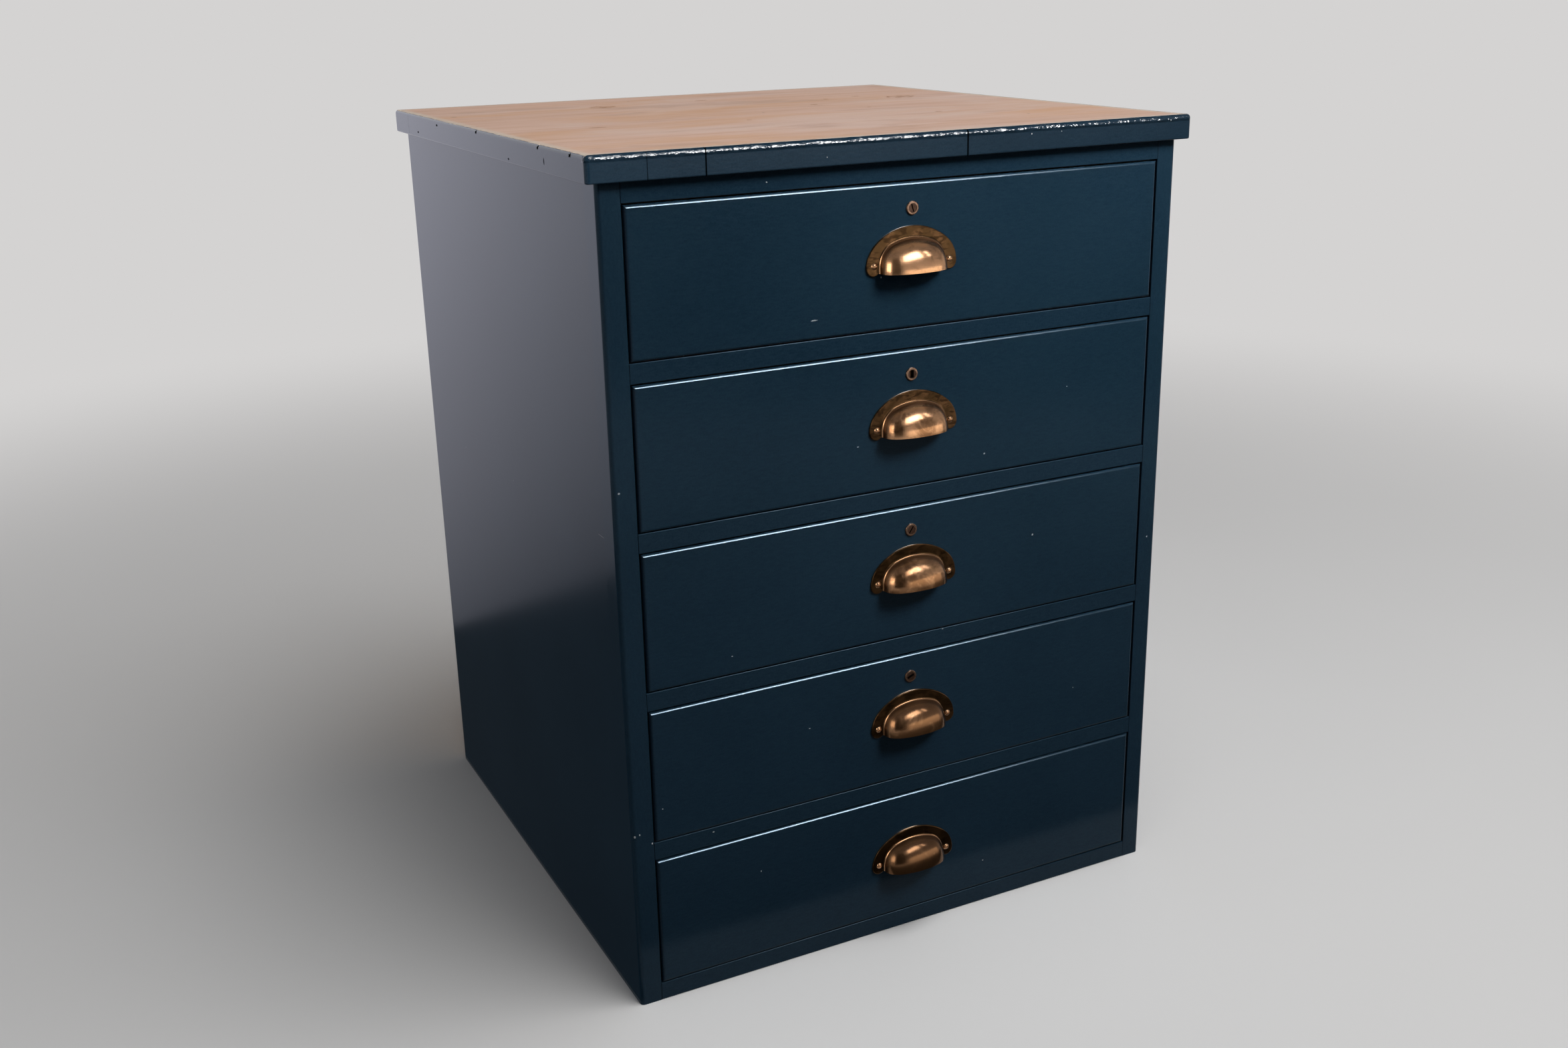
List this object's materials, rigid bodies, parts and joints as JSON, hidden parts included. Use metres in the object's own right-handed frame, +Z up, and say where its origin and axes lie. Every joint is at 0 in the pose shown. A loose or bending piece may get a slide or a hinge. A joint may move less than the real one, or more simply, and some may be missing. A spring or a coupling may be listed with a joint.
{
  "type": "drawer unit",
  "caption": "Floor-standing drawer unit: a dark painted frame-and-panel body, an overhanging bare wood top, flush drawers with brass cup pulls and round cam locks.",
  "frame": {"origin": "centre of the chest's footprint, on the floor", "axes": "+Z up, +X to the right of someone facing the drawers, -Y the way the drawers open"},
  "size_m": [0.663, 0.6694, 0.862],
  "materials": {
    "painted_wood": "worn satin dark blue paint, brushed on",
    "bare_top": "sanded bare wood, paint left on the edges",
    "drawer_wood": "planed, unfinished",
    "inner_wood": "sawn and planed, unfinished",
    "plywood": "unfinished",
    "pull_brass": "aged, dark in the hollows, worn bright on the cups",
    "screw_brass": "aged",
    "lock_brass": "aged",
    "steel": "plain zinc"
  },
  "bodies": {
    "chest_body": {"top_board": "bare_top", "side_panel_left": "painted_wood", "side_panel_right": "painted_wood", "back_panel": "plywood", "stile_left": "painted_wood", "stile_right": "painted_wood", "bottom_rail": "painted_wood", "top_rail": "painted_wood", "rear_rails": "inner_wood", "runners_left": "inner_wood", "runners_right": "inner_wood", "drawer_stops": "inner_wood", "top_screws": "steel", "drawer_rail_1": "painted_wood", "drawer_rail_2": "painted_wood", "drawer_rail_3": "painted_wood", "drawer_rail_4": "painted_wood"},
    "drawer_1": {"drawer_1_front": "painted_wood", "drawer_1_side_left": "drawer_wood", "drawer_1_side_right": "drawer_wood", "drawer_1_back": "drawer_wood", "drawer_1_bottom": "plywood", "drawer_1_pull": "pull_brass", "drawer_1_pull_screws": "screw_brass", "lock_1_barrel": "lock_brass"},
    "drawer_2": {"drawer_2_front": "painted_wood", "drawer_2_side_left": "drawer_wood", "drawer_2_side_right": "drawer_wood", "drawer_2_back": "drawer_wood", "drawer_2_bottom": "plywood", "drawer_2_pull": "pull_brass", "drawer_2_pull_screws": "screw_brass", "lock_2_barrel": "lock_brass"},
    "drawer_3": {"drawer_3_front": "painted_wood", "drawer_3_side_left": "drawer_wood", "drawer_3_side_right": "drawer_wood", "drawer_3_back": "drawer_wood", "drawer_3_bottom": "plywood", "drawer_3_pull": "pull_brass", "drawer_3_pull_screws": "screw_brass", "lock_3_barrel": "lock_brass"},
    "drawer_4": {"drawer_4_front": "painted_wood", "drawer_4_side_left": "drawer_wood", "drawer_4_side_right": "drawer_wood", "drawer_4_back": "drawer_wood", "drawer_4_bottom": "plywood", "drawer_4_pull": "pull_brass", "drawer_4_pull_screws": "screw_brass", "lock_4_barrel": "lock_brass"},
    "drawer_5": {"drawer_5_front": "painted_wood", "drawer_5_side_left": "drawer_wood", "drawer_5_side_right": "drawer_wood", "drawer_5_back": "drawer_wood", "drawer_5_bottom": "plywood", "drawer_5_pull": "pull_brass", "drawer_5_pull_screws": "screw_brass"},
    "lock_1_key_plug": {"lock_1_plug": "lock_brass"},
    "lock_2_key_plug": {"lock_2_plug": "lock_brass"},
    "lock_3_key_plug": {"lock_3_plug": "lock_brass"},
    "lock_4_key_plug": {"lock_4_plug": "lock_brass"}
  },
  "joints": [
    {"name": "drawer_1_slide", "type": "slide", "parent": "chest_body", "child": "drawer_1", "axis": [0, -1, 0], "range_m": [0, 0.45]},
    {"name": "drawer_2_slide", "type": "slide", "parent": "chest_body", "child": "drawer_2", "axis": [0, -1, 0], "range_m": [0, 0.45]},
    {"name": "drawer_3_slide", "type": "slide", "parent": "chest_body", "child": "drawer_3", "axis": [0, -1, 0], "range_m": [0, 0.45]},
    {"name": "drawer_4_slide", "type": "slide", "parent": "chest_body", "child": "drawer_4", "axis": [0, -1, 0], "range_m": [0, 0.45]},
    {"name": "drawer_5_slide", "type": "slide", "parent": "chest_body", "child": "drawer_5", "axis": [0, -1, 0], "range_m": [0, 0.45]},
    {"name": "lock_1_turn", "type": "hinge", "parent": "drawer_1", "child": "lock_1_key_plug", "pos_m": [0.0005, -0.28545, 0.791], "axis": [0, 1, 0], "range_deg": [0, 90]},
    {"name": "lock_2_turn", "type": "hinge", "parent": "drawer_2", "child": "lock_2_key_plug", "pos_m": [0.0005, -0.28545, 0.6275], "axis": [0, 1, 0], "range_deg": [0, 90]},
    {"name": "lock_3_turn", "type": "hinge", "parent": "drawer_3", "child": "lock_3_key_plug", "pos_m": [0.0005, -0.28545, 0.464], "axis": [0, 1, 0], "range_deg": [0, 90]},
    {"name": "lock_4_turn", "type": "hinge", "parent": "drawer_4", "child": "lock_4_key_plug", "pos_m": [0.0005, -0.28545, 0.3005], "axis": [0, 1, 0], "range_deg": [0, 90]}
  ]
}
